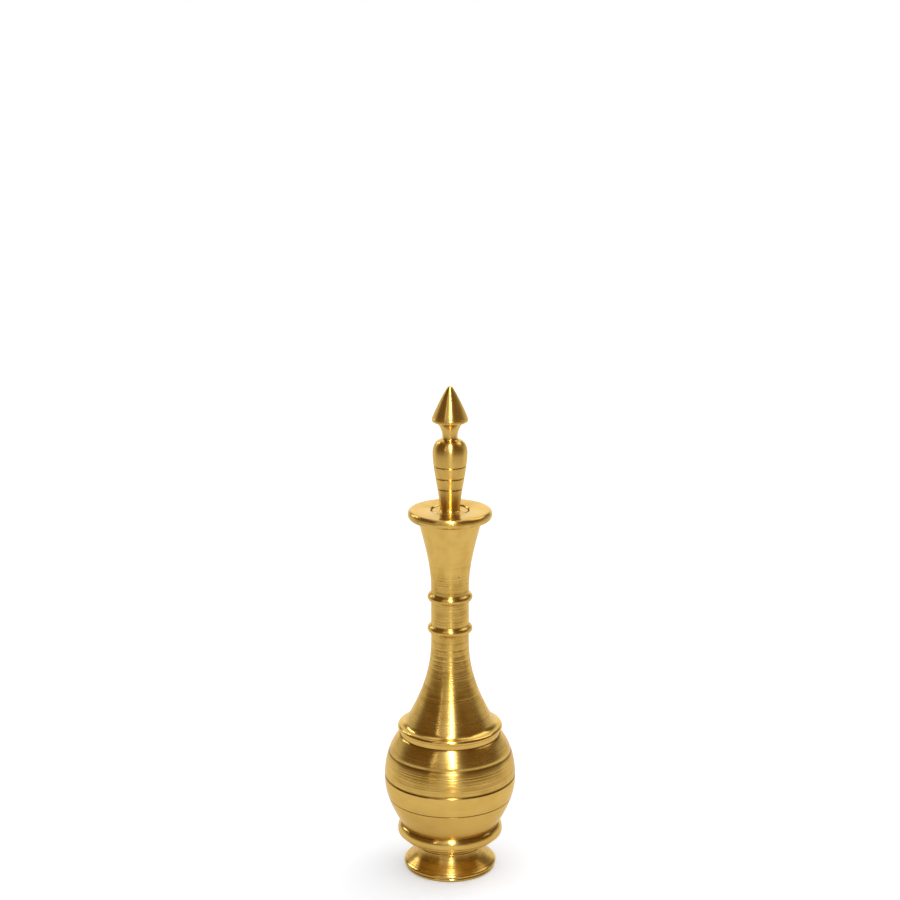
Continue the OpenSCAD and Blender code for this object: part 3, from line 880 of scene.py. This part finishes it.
def light_room(look):
    """Even light from all round. The camera sees white. The metal sees a room that is dim in front
    of the container, apart from a faint glow straight ahead, and bright beside it, behind it and
    overhead, where the bright part leans to the back."""
    world = bpy.data.worlds.new("studio")
    bpy.context.scene.world = world
    world.use_nodes = True
    t = Tree(world.node_tree)
    way = t.node("ShaderNodeTexCoord").outputs["Generated"]
    way = t.node("ShaderNodeSeparateXYZ", {0: way})
    azimuth = t.math("ARCTAN2", way.outputs["X"], t.math("MULTIPLY", way.outputs["Y"], -1.0))
    azimuth = t.math("ABSOLUTE", azimuth)
    glow = t.math("MULTIPLY", t.fall(azimuth, *GLOW_EDGE), GLOW)
    beside = t.math("MULTIPLY", t.step(azimuth, *BESIDE_EDGE), BESIDE)
    beside = t.math("MULTIPLY", beside, t.fall(way.outputs["Z"], *BESIDE_TOP))
    risen = t.step(way.outputs["Z"], *BEHIND_RISE)
    turned_off = t.math("MULTIPLY_ADD", risen, BEHIND_TURN, azimuth)
    behind = t.math("MULTIPLY", t.step(turned_off, *BEHIND_EDGE), BEHIND)
    behind = t.math("MAXIMUM", beside, behind)
    high = t.math("MULTIPLY", way.outputs["Z"], OVERHEAD_Z)
    high = t.math("MULTIPLY_ADD", way.outputs["Y"], OVERHEAD_Y, high)
    overhead = t.math("MULTIPLY", t.step(high, *OVERHEAD_EDGE), OVERHEAD)
    bright = t.math("MAXIMUM", t.math("MAXIMUM", behind, overhead), glow)
    white = t.node("ShaderNodeVectorMath", {0: (1, 1, 1), "Scale": bright}, operation="SCALE")
    room = t.node(
        "ShaderNodeVectorMath", {0: look.room_colour, 1: white.outputs[0]}, operation="MAXIMUM"
    ).outputs[0]
    ray = t.node("ShaderNodeLightPath")
    seen = t.math("MAXIMUM", ray.outputs["Is Glossy Ray"], ray.outputs["Is Transmission Ray"])
    light = t.mix(seen, grey(look.sky_light), room)
    light = t.mix(ray.outputs["Is Camera Ray"], light, grey(1.0))
    background = t.node("ShaderNodeBackground", {"Color": light, "Strength": 1.0})
    t.node("ShaderNodeOutputWorld", {"Surface": background.outputs[0]})


def aimed(obj, place, target):
    """Puts a lamp or camera at a place, looking at a target."""
    obj.location = place
    obj.rotation_euler = (Vector(target) - Vector(place)).to_track_quat("-Z", "Y").to_euler()
    bpy.context.scene.collection.objects.link(obj)


def lamp(name, power, size, place, gloss_only=False):
    """A flat lamp that faces the container."""
    light = bpy.data.lights.new(name, "AREA")
    light.shape = "RECTANGLE"
    light.size, light.size_y = size
    light.energy = power
    obj = bpy.data.objects.new(name, light)
    obj.visible_camera = False
    obj.visible_diffuse = not gloss_only
    aimed(obj, place, LAMP_TARGET)


def hang_lamps(look):
    """A tall strip in front draws the bright streak down the brass, a wide faint panel lights the
    brass on the streak's left and a thin strip edges it, one high up on the left edges the rounds,
    and a wide lamp behind throws the soft shadow forwards."""
    for name, (share, size, place) in GLOSS_LAMPS.items():
        lamp(name, look.strip_power * share, size, place, gloss_only=True)
    lamp("key", look.key_power, KEY_SIZE, KEY_PLACE)


def place_camera(look):
    """A long lens that looks down on the container as the photograph does."""
    camera = bpy.data.cameras.new("camera")
    camera.lens = look.focal_length
    camera.sensor_width = SENSOR_WIDTH
    middle = Vector((0, 0, TIP_Z / 2))
    pitch = look.camera_pitch
    place = middle + look.camera_distance * Vector((0, -math.cos(pitch), math.sin(pitch)))
    foot_angle = math.atan2(place.z, -place.y)
    off_axis = math.atan((0.5 - look.foot_line) * SENSOR_WIDTH / camera.lens)
    tilt = foot_angle - off_axis
    target = place + Vector((0, math.cos(tilt), -math.sin(tilt)))
    obj = bpy.data.objects.new("camera", camera)
    aimed(obj, place, target)
    bpy.context.scene.camera = obj


class KOHL_PT_panel(bpy.types.Panel):
    """Lists the pieces of the kohl container"""

    bl_idname = "KOHL_PT_panel"
    bl_label = "Kohl Container"
    bl_space_type = "VIEW_3D"
    bl_region_type = "UI"
    bl_category = "Kohl Container"

    def draw(self, context):
        for operator in PIECES:
            self.layout.operator(operator.bl_idname)


PIECES = (KOHL_OT_stage, KOHL_OT_foot, KOHL_OT_bottle, KOHL_OT_stopper, KOHL_OT_rod)
GROUPS = {
    "kohl_foot": FootSizes,
    "kohl_bottle": BottleSizes,
    "kohl_stopper": StopperSizes,
    "kohl_rod": RodSizes,
    "kohl_finish": BrassFinish,
    "kohl_studio": StudioLook,
}


def register():
    for cls in (*GROUPS.values(), *PIECES, KOHL_PT_panel):
        bpy.utils.register_class(cls)
    for name, group in GROUPS.items():
        setattr(bpy.types.Scene, name, PointerProperty(type=group))


def unregister():
    for name in GROUPS:
        delattr(bpy.types.Scene, name)
    for cls in (KOHL_PT_panel, *reversed(PIECES), *reversed(GROUPS.values())):
        bpy.utils.unregister_class(cls)


def main():
    register()
    bpy.ops.kohl.stage()
    bpy.ops.kohl.foot()
    bpy.ops.kohl.bottle()
    bpy.ops.kohl.stopper()
    bpy.ops.kohl.rod()


if __name__ == "__main__":
    main()
